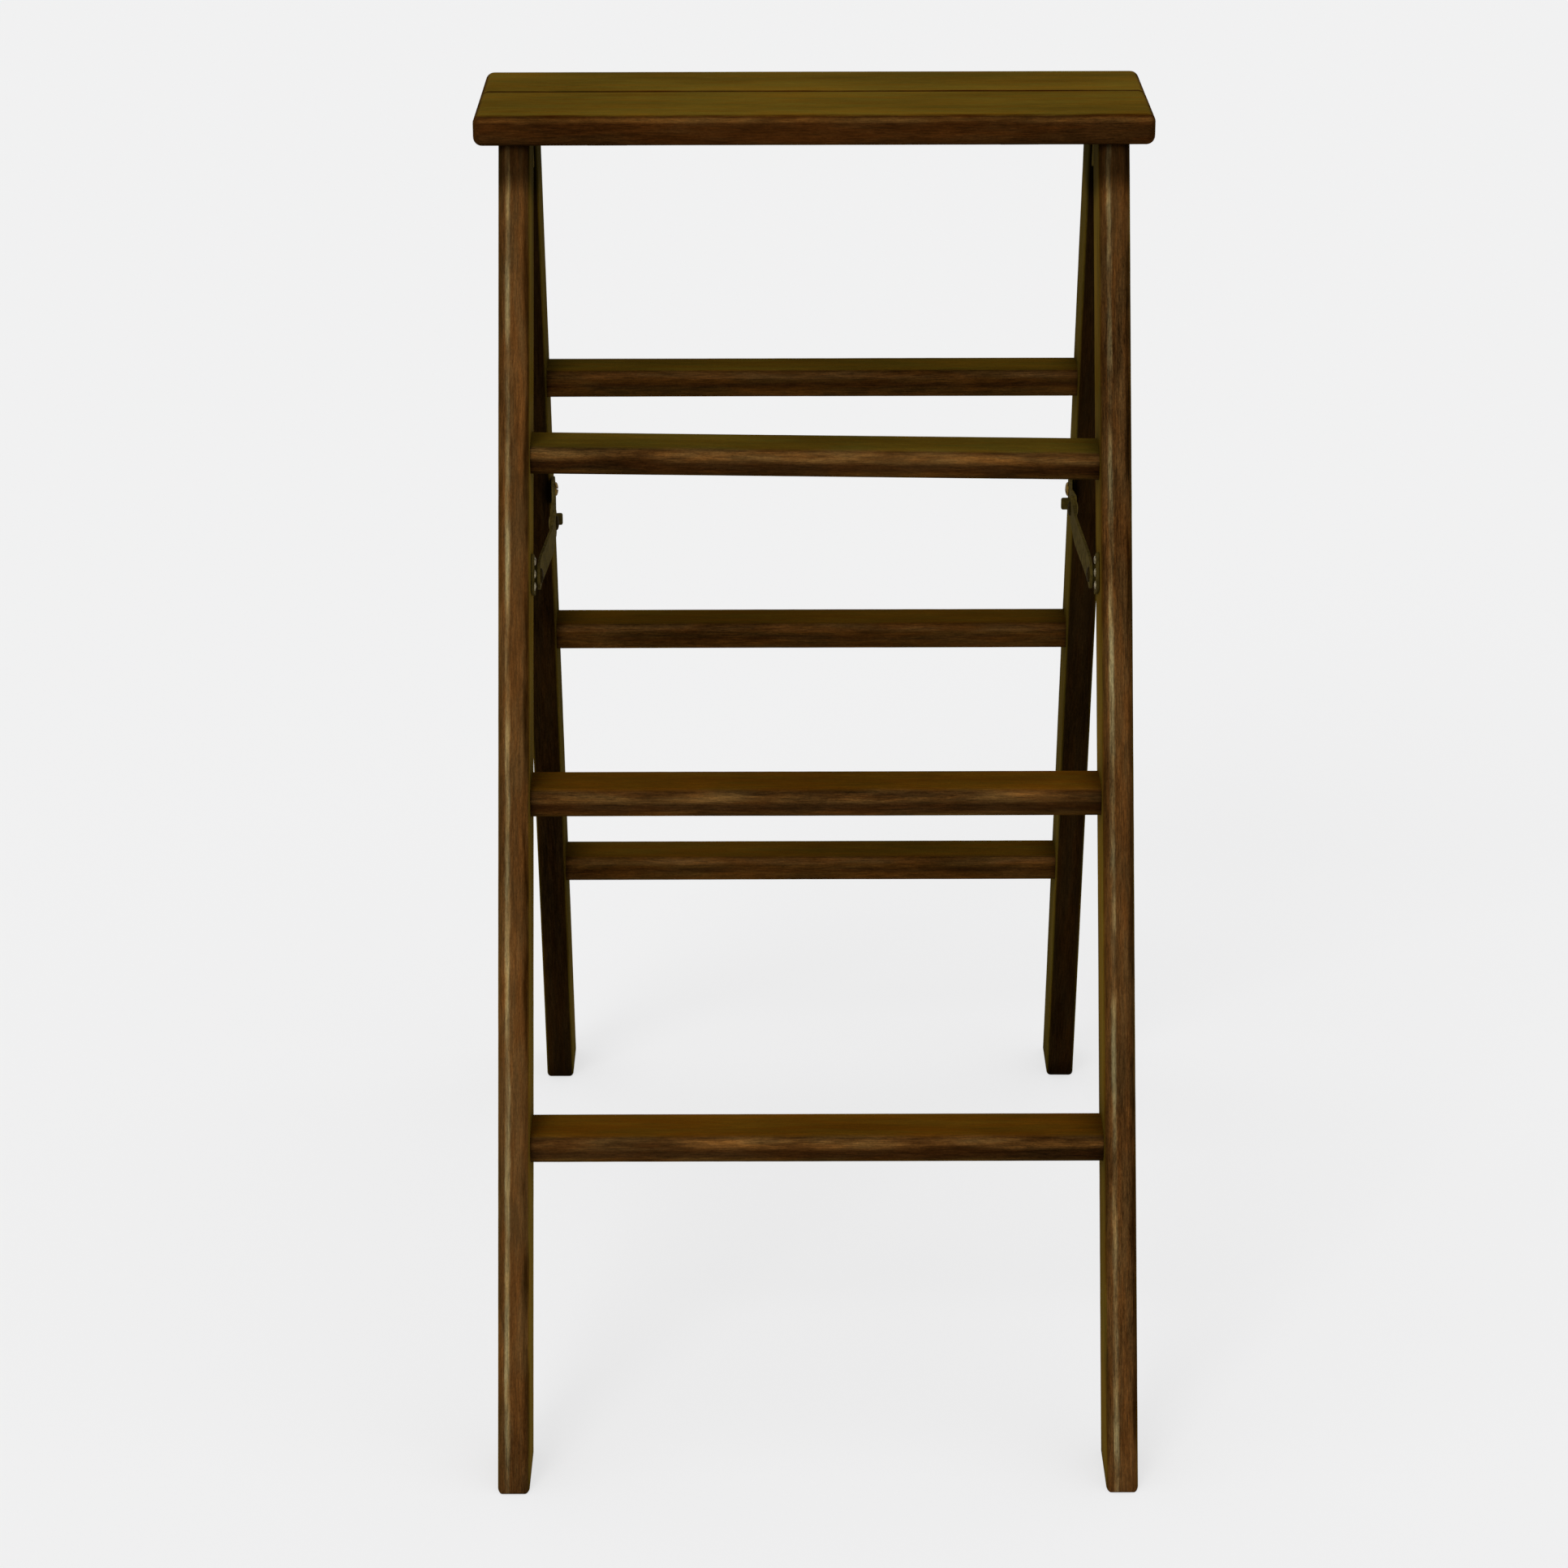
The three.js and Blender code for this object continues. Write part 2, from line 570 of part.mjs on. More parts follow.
// The plate on the front rail, with a raised boss that holds the arm off it. It is made in the
// front frame's coordinates, with its screws and the rivet that the arm turns on.
function makeStayPlate(sideName, side) {
  const meshes = [];
  const face = INNER_FACE - PLATE_GAP;
  const inner = face - PLATE_THICKNESS;
  const [y, z] = [FRONT_PIVOT_DEPTH, -FRONT_STAY_DROP];
  const outward = new THREE.Vector3(side, 0, 0);
  const outline = roundedRectangle(PLATE_WIDTH, PLATE_LENGTH, PLATE_RADIUS);
  const plate = extrudedAlongX(outline, PLATE_THICKNESS);
  const plateY = y - PLATE_SCREW_OFFSET / 2;
  let solid = solidOf(plate.translate((side * (face + inner)) / 2, plateY, z));
  const bossEnd = INNER_FACE - FRONT_ARM_STANDOFF + CLEARANCE;
  const bossSpan = [side * (inner + PLATE_THICKNESS / 2), side * bossEnd];
  solid = solid.add(solidOf(rod(PLATE_BOSS_RADIUS, bossSpan, y, z, 20)));
  const through = spanAround(side * bossEnd);
  solid = solid.subtract(solidOf(rod(RIVET_RADIUS + HALF_CLEARANCE, through, y, z)));

  const railHoles = [];
  const screwY = y - PLATE_SCREW_OFFSET;
  for (const [label, offset] of [["upper", 1], ["middle", 0], ["lower", -1]]) {
    const screwZ = z + offset * PLATE_SCREW_SPACING;
    const head = [side * (inner - HALF_CLEARANCE), screwY, screwZ];
    const profile = roundHeadProfile(
      PLATE_SCREW.radius,
      PLATE_SCREW.head,
      PLATE_SCREW.headHeight,
      PLATE_SCREW.length,
    );
    const screw = turned(profile, outward, head);
    meshes.push(meshOf(`stay_screw_${label}_${sideName}`, solidOf(screw), screwSteel));
    const holeSpan = [side * (inner - 1), side * (inner + PLATE_SCREW.length + 1)];
    const hole = solidOf(rod(PLATE_SCREW.radius + CLEARANCE, holeSpan, screwY, screwZ));
    solid = solid.subtract(hole);
    railHoles.push(hole);
  }
  meshes.push(meshOf(`stay_plate_${sideName}`, solid, staySteel));

  const armInner = INNER_FACE - FRONT_ARM_STANDOFF - STAY_THICKNESS;
  const length = face - armInner - HALF_CLEARANCE;
  const rivetHead = [side * (armInner - HALF_CLEARANCE), y, z];
  const rivetProfile = roundHeadProfile(RIVET_RADIUS, RIVET_HEAD_RADIUS, RIVET_HEAD_HEIGHT, length);
  const rivet = solidOf(turned(rivetProfile, outward, rivetHead, 12));
  meshes.push(meshOf(`stay_front_rivet_${sideName}`, rivet, screwSteel));
  return { meshes, railHoles };
}

// The screw that the rear arm turns on, in the rear frame's coordinates.
function makeRearPivot(sideName, side, facing) {
  const armInner = INNER_FACE - REAR_ARM_STANDOFF - STAY_THICKNESS;
  const x = side * facing;
  const depth = REAR_PIVOT_DEPTH[sideName];
  const head = [x * (armInner - HALF_CLEARANCE), depth, -REAR_STAY_DROP];
  const profile = roundHeadProfile(
    RIVET_RADIUS,
    RIVET_HEAD_RADIUS,
    PIVOT_HEAD_HEIGHT,
    PIVOT_SCREW_LENGTH,
  );
  const screw = solidOf(turned(profile, new THREE.Vector3(x, 0, 0), head, 12));
  const span = [x * (INNER_FACE - 1), x * (armInner + PIVOT_SCREW_LENGTH + 1)];
  const hole = solidOf(rod(RIVET_RADIUS + CLEARANCE, span, depth, -REAR_STAY_DROP));
  return { mesh: meshOf(`stay_rear_pivot_${sideName}`, screw, screwSteel), hole };
}

// ---- assembly ----
const treadsOf = (prefix) =>
  ["lower", "middle", "upper"].map((label, below) => ({
    label,
    drop: UNDERSIDE - (below + 1) * RISER - TREAD_OFFSETS[prefix][label],
    tilt: prefix === "front" && label === "upper" ? UPPER_TREAD_TILT : 0,
  }));

const platesHoles = { left: [], right: [] };
const plateMeshes = [];
const pivotMeshes = [];
const REAR_FACING = -1;
const railLeaves = makeRailLeaves(REAR_FACING);
for (const [sideName, side] of SIDES) {
  const plate = makeStayPlate(sideName, side);
  plateMeshes.push(...plate.meshes);
  platesHoles[sideName].push(...plate.railHoles);
  const pivot = makeRearPivot(sideName, side, REAR_FACING);
  pivotMeshes.push(pivot.mesh);
  railLeaves.holes[sideName].push(pivot.hole);
}

const frontFrame = makeFrame(
  "front",
  FRONT_LEAN,
  treadsOf("front"),
  -RAIL_HOUSING + HALF_CLEARANCE,
  1,
  platesHoles,
);
frontFrame.add(...plateMeshes);

const rearFrame = makeFrame(
  "rear",
  REAR_LEAN,
  treadsOf("rear"),
  CLEARANCE,
  REAR_FACING,
  railLeaves.holes,
);
rearFrame.add(...railLeaves.meshes, ...pivotMeshes);
const rearTurn = new THREE.Group();
rearTurn.rotation.z = Math.PI;
rearTurn.add(rearFrame);

const topLeaves = makeTopLeaves();
const stays = SIDES.map(([sideName, side]) => {
  const line = stayLine(sideName);
  const bend = Math.acos(line.half / ARM_LENGTH);
  const front = new THREE.Group();
  front.position.set(0, ...line.front);
  front.rotation.x = line.slope + bend;
  front.add(frontArm(sideName, side), knuckleRivet(sideName, side));
  const rear = new THREE.Group();
  rear.position.set(0, ...line.rear);
  rear.rotation.x = line.slope - bend;
  rear.add(rearArm(sideName, side));
  return new THREE.Group().add(front, rear);
});

const shelf = new THREE.Group();
shelf.add(frontFrame, rearTurn, makeTop(topLeaves.holes), topLeaves.group, ...stays);
// The origin is on the floor under the middle of the ladder's footprint.
shelf.position.y = -(FRONT_FOOT_Y + REAR_FOOT_Y) / 2;

export default shelf;
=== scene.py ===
"""Looks for a folding stepladder shelf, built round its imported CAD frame. Metres, +Z up."""
import math

import bmesh
import bpy
from mathutils import Matrix, Vector, noise


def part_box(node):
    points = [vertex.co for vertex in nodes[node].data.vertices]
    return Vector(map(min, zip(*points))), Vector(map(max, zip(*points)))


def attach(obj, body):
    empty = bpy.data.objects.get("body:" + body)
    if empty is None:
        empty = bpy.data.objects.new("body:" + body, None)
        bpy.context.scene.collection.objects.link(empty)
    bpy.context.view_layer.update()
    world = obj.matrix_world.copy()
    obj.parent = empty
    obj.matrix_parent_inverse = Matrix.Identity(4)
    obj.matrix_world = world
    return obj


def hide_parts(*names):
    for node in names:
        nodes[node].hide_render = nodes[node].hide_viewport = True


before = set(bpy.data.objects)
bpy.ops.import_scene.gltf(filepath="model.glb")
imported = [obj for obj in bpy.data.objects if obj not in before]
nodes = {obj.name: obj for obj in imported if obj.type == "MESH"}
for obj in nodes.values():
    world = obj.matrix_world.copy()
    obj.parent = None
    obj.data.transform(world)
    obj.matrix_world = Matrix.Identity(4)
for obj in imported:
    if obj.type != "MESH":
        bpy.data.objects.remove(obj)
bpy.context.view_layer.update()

# ---- driving dimensions ----
MM = 0.001
FRONT_LEAN = math.radians(22.5)
REAR_LEAN = math.radians(17.5)
RAIL_DEPTH = 61 * MM
EDGE_RADIUS = 6.5 * MM
TREAD_NOSE_RADIUS = 8 * MM
TREAD_BACK_RADIUS = 4 * MM
TREAD_THICKNESS = 22 * MM
END_RADIUS = 2.5 * MM  # the eased arris of a sawn end
SEAM_RADIUS = 3 * MM
CLEARANCE = 0.3 * MM
RAIL_HOUSING = 6 * MM
UPPER_TREAD_TILT = math.radians(0.8)
RING_STEP = 9 * MM  # spacing of the cuts along a plank
# A painted shadow of the top boards darkens the rails' upper ends.
SHADOWED_END = 74 * MM  # how much of a rail's upper end is darkened
SHADOW_FADE = 24 * MM
# Painted shade from ambient occlusion near joints reaches this far.
SHADE_REACH = 26 * MM  # how far from a joint the wood is still darkened
BATTEN_RADIUS = 2 * MM
TREAD_END_RADIUS = 0.3 * MM
STRIP_STATIONS = 90  # cuts along and across a stay arm
STRIP_ROWS = 6

FRONT_STAY_DROP = 307 * MM
REAR_STAY_DROP = 317 * MM
FRONT_PIVOT_DEPTH = 40 * MM
REAR_PIVOT_DEPTH = {"left": 45 * MM, "right": 46.8 * MM}
LEFT_KNUCKLE_RISE = 6 * MM
STAY_HEIGHT = 20 * MM
STAY_THICKNESS = 2 * MM
FRONT_ARM_STANDOFF = 3.8 * MM
REAR_ARM_STANDOFF = 0.6 * MM
KNUCKLE_STANDOFF = 6.2 * MM
RAIL_END_FLAT = 14 * MM
KNUCKLE_FLAT = 50 * MM
RIVET_HEAD_RADIUS = 5.5 * MM
KNUCKLE_BOSS_HEIGHT = 1.4 * MM
TAB_REACH = (4 * MM, 6 * MM)  # left, right

# ---- sizes read from the frame ----
board_low, board_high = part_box("top_board_front")
UNDERSIDE = board_low.z
STOCK = board_high.z - board_low.z
OUTER_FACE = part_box("front_rail_right")[1].x
INNER_FACE = OUTER_FACE - STOCK
RAIL_CENTRE = OUTER_FACE - STOCK / 2
FRONT_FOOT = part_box("front_rail_right")[0].y
REAR_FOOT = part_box("rear_rail_right")[1].y

# Each leaning frame's own axes: the origin at the rails' top outer corner, +Y in through a
# rail's depth, -Z down along the rail. The rear frame is turned to face the other way.
FRONT_FRAME = (
    Matrix.Translation((0, FRONT_FOOT + UNDERSIDE * math.tan(FRONT_LEAN), UNDERSIDE))
    @ Matrix.Rotation(-FRONT_LEAN, 4, "X")
)
REAR_FRAME = (
    Matrix.Translation((0, REAR_FOOT - UNDERSIDE * math.tan(REAR_LEAN), UNDERSIDE))
    @ Matrix.Rotation(math.pi, 4, "Z")
    @ Matrix.Rotation(-REAR_LEAN, 4, "X")
)
SIDES = {"left": -1, "right": 1}
TREAD_ROWS = ("upper", "middle", "lower")


def middle(node):
    low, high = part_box(node)
    return (low + high) / 2


def size(node):
    low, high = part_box(node)
    return high - low


# ---- mesh helpers ----
def object_from(bm, name):
    mesh = bpy.data.meshes.new(name)
    bm.to_mesh(mesh)
    bm.free()
    piece = bpy.data.objects.new(name, mesh)
    bpy.context.scene.collection.objects.link(piece)
    return piece


def apply_modifiers(piece):
    bpy.context.view_layer.update()
    graph = bpy.context.evaluated_depsgraph_get()
    made = bpy.data.meshes.new_from_object(piece.evaluated_get(graph))
    piece.modifiers.clear()
    piece.data = made


def cut(piece, cutters):
    for cutter in cutters:
        modifier = piece.modifiers.new("cut", "BOOLEAN")
        modifier.operation = "DIFFERENCE"
        modifier.solver = "EXACT"
        modifier.object = cutter
    apply_modifiers(piece)


def remove(pieces):
    for piece in pieces:
        bpy.data.objects.remove(piece)


def smooth(piece, angle=35):
    """Smooth shading that keeps flat faces flat and edges over the angle sharp."""
    piece.data.shade_smooth()
    piece.data.set_sharp_from_angle(angle=math.radians(angle))
    modifier = piece.modifiers.new("normals", "WEIGHTED_NORMAL")
    modifier.keep_sharp = True
    modifier.weight = 100


def bevel(piece, width, segments=3, angle=40):
    modifier = piece.modifiers.new("bevel", "BEVEL")
    modifier.width = width
    modifier.segments = segments
    modifier.limit_method = "ANGLE"
    modifier.angle_limit = math.radians(angle)
    apply_modifiers(piece)


def show(piece, node, body, material):
    """The piece stands for a CAD node, rides on its body and takes its finish."""
    piece.data.materials.clear()
    piece.data.materials.append(material)
    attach(piece, body)
    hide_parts(node)
    return piece


# ---- planks ----
def plank(name, length, width, thickness, radius_of, shear=0.0):
    """A plank about its own centre: length along X, width along Y, thickness along Z.
    radius_of(axis, y, z) gives the rounding of an edge along an axis, on the sides y and z.
    shear slopes both ends, so that they are cut level on a leaning rail."""
    bm = bmesh.new()
    bmesh.ops.create_cube(bm, size=1)
    for vertex in bm.verts:
        x, y, z = vertex.co
        vertex.co = (x * length + y * width * shear, y * width, z * thickness)
    cuts = max(1, round(length / RING_STEP))
    along = Vector((1, 0, 0))
    across = Vector((1, -shear, 0)).normalized()
    for i in range(1, cuts):
        place = along * (length * (i / cuts - 0.5))
        geometry = bm.verts[:] + bm.edges[:] + bm.faces[:]
        bmesh.ops.bisect_plane(bm, geom=geometry, plane_co=place, plane_no=across)
    weights = bm.edges.layers.float.new("bevel_weight_edge")
    radii = {}
    for edge in bm.edges:
        a, b = edge.verts
        line = b.co - a.co
        centre = (a.co + b.co) / 2
        y, z = centre.y / (width / 2), centre.z / (thickness / 2)
        end = abs(abs(centre.x - centre.y * shear) - length / 2) < length * 1e-4
        lengthwise = abs(line.y) < 1e-7 and abs(line.z) < 1e-7
        if lengthwise:
            radii[edge] = radius_of("x", y, z)
        elif end:
            radii[edge] = radius_of("z" if abs(line.z) > abs(line.y) else "y", y, z)
    largest = max(radii.values())
    for edge, radius in radii.items():
        edge[weights] = radius / largest
    piece = object_from(bm, name)
    modifier = piece.modifiers.new("round", "BEVEL")
    modifier.width = largest
    modifier.segments = 7
    modifier.limit_method = "WEIGHT"
    modifier.use_clamp_overlap = False
    apply_modifiers(piece)
    return piece


def rail_edges(axis, y, z):
    return EDGE_RADIUS if axis == "x" else END_RADIUS


def tread_edges(nose):
    """A tread's nose is on its -Y side for nose = -1, and on its +Y side for nose = 1."""

    def radius_of(axis, y, z):
        if axis != "x":
            return TREAD_END_RADIUS
        return TREAD_NOSE_RADIUS if y * nose > 0 else TREAD_BACK_RADIUS

    return radius_of


def hand_worked(piece, seed, depth=0.35 * MM, wave=0.045):
    """Takes a little off the faces unevenly, as hand tools and wear do."""
    for vertex in piece.data.vertices:
        at = Vector((vertex.co.x / 4, vertex.co.y, vertex.co.z)) / wave
        fine = Vector((vertex.co.x, vertex.co.y, vertex.co.z)) / (wave / 4)
        offset = Vector((seed * 7.3, seed * 3.1, 0))
        taken = 0.7 * noise.noise(at + offset) + 0.3 * noise.noise(fine + offset)
        vertex.co -= vertex.normal * depth * (0.5 + 0.5 * taken)


# ---- shader helpers ----
class Shader:
    """A short way to write a node tree: each call adds a node and returns its output."""

    def __init__(self, name):
        self.material = bpy.data.materials.new(name)
        self.material.use_nodes = True
        self.tree = self.material.node_tree
        self.bsdf = self.tree.nodes["Principled BSDF"]

    def node(self, kind, **settings):
        made = self.tree.nodes.new(kind)
        for key, value in settings.items():
            setattr(made, key, value)
        return made

    def plug(self, socket, value):
        if isinstance(value, bpy.types.NodeSocket):
            self.tree.links.new(value, socket)
        else:
            socket.default_value = value

    def math(self, operation, a, b=0.0):
        made = self.node("ShaderNodeMath", operation=operation)
        self.plug(made.inputs[0], a)
        self.plug(made.inputs[1], b)
        return made.outputs[0]

    def coordinates(self, kind="Object"):
        return self.node("ShaderNodeTexCoord").outputs[kind]

    def scaled(self, vector, scale, offset=(0, 0, 0)):
        made = self.node("ShaderNodeMapping")
        self.plug(made.inputs["Vector"], vector)
        made.inputs["Scale"].default_value = scale
        made.inputs["Location"].default_value = offset
        return made.outputs[0]

    def noise(self, vector, detail=3.0, roughness=0.55, distortion=0.0):
        made = self.node("ShaderNodeTexNoise")
        self.plug(made.inputs["Vector"], vector)
        made.inputs["Scale"].default_value = 1
        made.inputs["Detail"].default_value = detail
        made.inputs["Roughness"].default_value = roughness
        made.inputs["Distortion"].default_value = distortion
        return made.outputs["Fac"]

    def remap(self, value, low, high, to_low=0.0, to_high=1.0):
        made = self.node("ShaderNodeMapRange", interpolation_type="SMOOTHSTEP")
        self.plug(made.inputs["Value"], value)
        made.inputs["From Min"].default_value = low
        made.inputs["From Max"].default_value = high
        made.inputs["To Min"].default_value = to_low
        made.inputs["To Max"].default_value = to_high
        return made.outputs["Result"]

    def mix(self, share, a, b, blend="MIX"):
        made = self.node("ShaderNodeMix", data_type="RGBA", blend_type=blend)
        self.plug(made.inputs["Factor"], share)
        self.plug(made.inputs["A"], a)
        self.plug(made.inputs["B"], b)
        return made.outputs["Result"]

    def split(self, vector):
        made = self.node("ShaderNodeSeparateXYZ")
        self.plug(made.inputs[0], vector)
        return made.outputs

    def joined(self, x, y, z):
        made = self.node("ShaderNodeCombineXYZ")
        for socket, value in zip(made.inputs, (x, y, z)):
            self.plug(socket, value)
        return made.outputs[0]

    def bump(self, height, distance, strength):
        made = self.node("ShaderNodeBump")
        made.inputs["Strength"].default_value = strength
        made.inputs["Distance"].default_value = distance
        self.plug(made.inputs["Height"], height)
        return made.outputs[0]


def srgb(red, green, blue):
    """A display colour, 0 to 255, as the linear colour a shader takes."""

    def linear(value):
        share = value / 255
        return share / 12.92 if share <= 0.04045 else ((share + 0.055) / 1.055) ** 2.4

    return (linear(red), linear(green), linear(blue), 1)


# ---- wood ----
# A band is (where, how wide, colour) on the -Y face: where runs from -1 at the face's -Z edge
# to 1 at its +Z edge. The bands are painted highlights and painted shade strips along the face.
def wood(name, seed, thickness, front, back, top, bottom, painted_bands, calm, clouds, shadow_from=None):
    """Stained, satin-varnished wood with its grain along the piece's X. front, back, top and
    bottom tint the -Y, +Y, +Z and -Z faces, with painted sheen and painted shade in them;
    painted_bands are painted highlights and painted shade strips on the -Y face; calm is how
    much of the grain the Z faces lose; clouds is the slow change in the stain; shadow_from is
    where along X a painted shadow starts to darken the piece towards its +X end."""
    shader = Shader(name)
    place = shader.coordinates()
    facing = shader.split(shader.coordinates("Normal"))
    offset = (seed * 1.37, seed * 0.71, seed * 0.29)

    # Tint by the face's direction, blended round the rounded edges: painted sheen on the olive
    # faces and painted shade on the darker ones.
    forward = shader.remap(facing[1], -0.35, 0.35)
    upward = shader.remap(facing[2], -0.35, 0.35)
    level = shader.remap(shader.math("ABSOLUTE", facing[2]), 0.72, 0.97)
    tint = shader.mix(forward, front, back)
    tint = shader.mix(level, tint, shader.mix(upward, bottom, top))
    patches = shader.noise(shader.scaled(place, (14, 110, 110), offset), 3, 0.6)
    ragged = shader.noise(shader.scaled(place, (45, 300, 300), offset), 3, 0.65)
    ragged = shader.math("MULTIPLY", shader.math("SUBTRACT", ragged, 0.5), 0.22)
    along, _, height = shader.split(place)
    height = shader.math("DIVIDE", height, thickness / 2)
    height = shader.math("ADD", height, ragged)
    patches = shader.remap(patches, 0.32, 0.66, 0.15, 1.0)
    on_front = shader.remap(facing[1], -0.5, -0.15, 1.0, 0.0)
    # Paint the highlight and shade bands onto the -Y face.
    for where, wide, colour in painted_bands:
        away = shader.math("ABSOLUTE", shader.math("SUBTRACT", height, where))
        band = shader.math("MULTIPLY", shader.remap(away, 0.2 * wide, wide, 1.0, 0.0), on_front)
        tint = shader.mix(shader.math("MULTIPLY", band, patches), tint, colour)
    # Painted shade: ambient occlusion darkens the wood where pieces meet.
    corner = shader.node("ShaderNodeAmbientOcclusion", samples=4)
    corner.inputs["Distance"].default_value = SHADE_REACH
    painted_shade = shader.remap(corner.outputs["AO"], 0.35, 0.95, 0.42, 1.0)
    # A painted shadow of the top boards darkens a rail's upper end.
    if shadow_from is not None:
        top_shadow = shader.remap(along, shadow_from, shadow_from + SHADOW_FADE, 1.0, 0.28)
        painted_shade = shader.math("MULTIPLY", painted_shade, top_shadow)
    tint = shader.mix(1.0, tint, shader.joined(painted_shade, painted_shade, painted_shade), "MULTIPLY")

    # Streaks, threads, pores and blotches of stain.
    streak = shader.noise(shader.scaled(place, (62, 980, 980), offset), 5, 0.68, 0.35)
    thread = shader.noise(shader.scaled(place, (130, 2600, 2600), offset), 2, 0.6)
    fleck = shader.noise(shader.scaled(place, (420, 1300, 1300), offset), 3, 0.7)
    blotch = shader.noise(shader.scaled(place, (12, 85, 85), offset), 3, 0.55, 0.4)
    cloud = shader.noise(shader.scaled(place, (4, 16, 16), offset), 2, 0.5)
    pores = shader.remap(
        shader.noise(shader.scaled(place, (190, 3000, 3000), offset), 1, 0.5), 0.62, 0.74
    )
    grain = shader.remap(streak, 0.3, 0.7, 0.66, 1.36)
    grain = shader.math("MULTIPLY", grain, shader.remap(thread, 0.3, 0.7, 0.86, 1.14))
    grain = shader.math("MULTIPLY", grain, shader.remap(fleck, 0.3, 0.7, 0.8, 1.2))
    grain = shader.math("MULTIPLY", grain, shader.remap(blotch, 0.32, 0.68, 0.76, 1.26))
    grain = shader.math("MULTIPLY", grain, shader.remap(pores, 0.0, 1.0, 1.0, 0.7))
    loss = shader.math("SUBTRACT", 1.0, shader.math("MULTIPLY", level, calm))
    grain = shader.math("MULTIPLY", shader.math("SUBTRACT", grain, 1.0), loss)
    grain = shader.math("ADD", grain, shader.remap(cloud, 0.32, 0.68, 1 - clouds, 1 + clouds))
    colour = shader.mix(1.0, tint, shader.joined(grain, grain, grain), "MULTIPLY")
    hue = shader.noise(shader.scaled(place, (16, 130, 130), offset), 3, 0.6)
    redder = shader.mix(1.0, colour, (1.06, 0.95, 0.82, 1), "MULTIPLY")
    greener = shader.mix(1.0, colour, (0.94, 1.03, 1.12, 1), "MULTIPLY")
    colour = shader.mix(shader.remap(hue, 0.35, 0.65), redder, greener)
    shader.plug(shader.bsdf.inputs["Base Color"], colour)

    rough = shader.remap(streak, 0.3, 0.7, 0.56, 0.44)
    shader.plug(shader.bsdf.inputs["Roughness"], rough)
    relief = shader.math("SUBTRACT", shader.math("MULTIPLY", streak, 0.5), pores)
    shader.plug(shader.bsdf.inputs["Normal"], shader.bump(relief, 0.08 * MM, 0.6))
    shader.bsdf.inputs["Specular IOR Level"].default_value = 0
    shader.bsdf.inputs["Metallic"].default_value = 0.08
    shader.bsdf.inputs["Specular Tint"].default_value = (1, 0.86, 0.42, 1)
    return shader.material


# ---- the timber ----
# Front rails: the olive top and bottom tints (the side faces) are painted sheen, the darker back
# tint is painted shade; the bands paint shade along both rounded edges and a highlight streak
# beside the +Z one.
FRONT_RAIL_LOOK = {
    "front": srgb(79, 52, 24),
    "back": srgb(66, 42, 18),
    "top": srgb(88, 66, 18),
    "bottom": srgb(84, 64, 18),
    "painted_bands": [
        (0.9, 0.3, srgb(62, 40, 14)),
        (0.38, 0.22, srgb(130, 112, 74)),
        (-0.8, 0.34, srgb(40, 22, 4)),
    ],
    "calm": 0.5,
    "clouds": 0.3,
}
# Rear rails: the dark back tint, on the faces turned into the ladder, is painted shade, the
# olive top and bottom tints are painted sheen; the bands paint a highlight streak and a shaded
# strip.
REAR_RAIL_LOOK = {
    "front": srgb(80, 52, 24),
    "back": srgb(26, 15, 4),
    "top": srgb(64, 50, 13),
    "bottom": srgb(64, 50, 13),
    "painted_bands": [(0.38, 0.21, srgb(104, 88, 56)), (-0.8, 0.34, srgb(40, 24, 6))],
    "calm": 0.3,
    "clouds": 0.25,
}
# Front treads: the olive top tint is painted sheen, the dark front and bottom tints are painted
# shade; the bands paint a highlight across the nose and a lighter painted strip low on it.
FRONT_TREAD_LOOK = {
    "front": srgb(46, 27, 9),
    "back": srgb(60, 36, 14),
    "top": srgb(83, 52, 8),
    "bottom": srgb(44, 26, 7),
    "painted_bands": [(0.5, 0.56, srgb(96, 66, 31)), (-0.66, 0.3, srgb(68, 44, 16))],
    "calm": 0.6,
    "clouds": 0.22,
}
# Rear treads: the olive top tint is painted sheen, the dark bottom tint is painted shade; the
# bands paint a highlight high on the -Y face and a shaded line below it.
REAR_TREAD_LOOK = {
    "front": srgb(58, 36, 11),
    "back": srgb(60, 36, 13),
    "top": srgb(64, 42, 7),
    "bottom": srgb(32, 19, 5),
    "painted_bands": [(0.6, 0.36, srgb(78, 52, 24)), (-0.1, 0.3, srgb(42, 24, 7))],
    "calm": 0.6,
    "clouds": 0.22,
}
# Top boards: the olive top tint is painted sheen, the dark front and bottom tints are painted
# shade; the bands paint a highlight on the front rounded edge and a shaded line above it.
TOP_LOOK = {
    "front": srgb(50, 28, 8),
    "back": srgb(54, 32, 10),
    "top": srgb(90, 68, 17),
    "bottom": srgb(34, 20, 5),
    "painted_bands": [(0.66, 0.24, srgb(82, 54, 22)), (0.98, 0.2, srgb(48, 22, 3))],
    "calm": 0.66,
    "clouds": 0.2,
}

# The upper treads' tops get a more olive tint: more painted sheen.
UPPER_TREAD_TOP_SHEEN = {"front": srgb(80, 62, 16), "rear": srgb(74, 54, 11)}

# A rail's plank axes in its frame: its length runs up the rail, and its width through the depth.
RAIL_AXES = Matrix(((0, 0, -1, 0), (0, 1, 0, 0), (1, 0, 0, 0), (0, 0, 0, 1)))


def tread_plank(node, tilt, nose, grow=0.0):
    spans = size(node)
    piece = plank(
        node + "_look",
        spans.x + 2 * grow,
        spans.y + 2 * grow,
        TREAD_THICKNESS + 2 * grow,
        tread_edges(nose),
    )
    piece.matrix_world = Matrix.Translation(middle(node)) @ Matrix.Rotation(tilt, 4, "Y")
    return piece


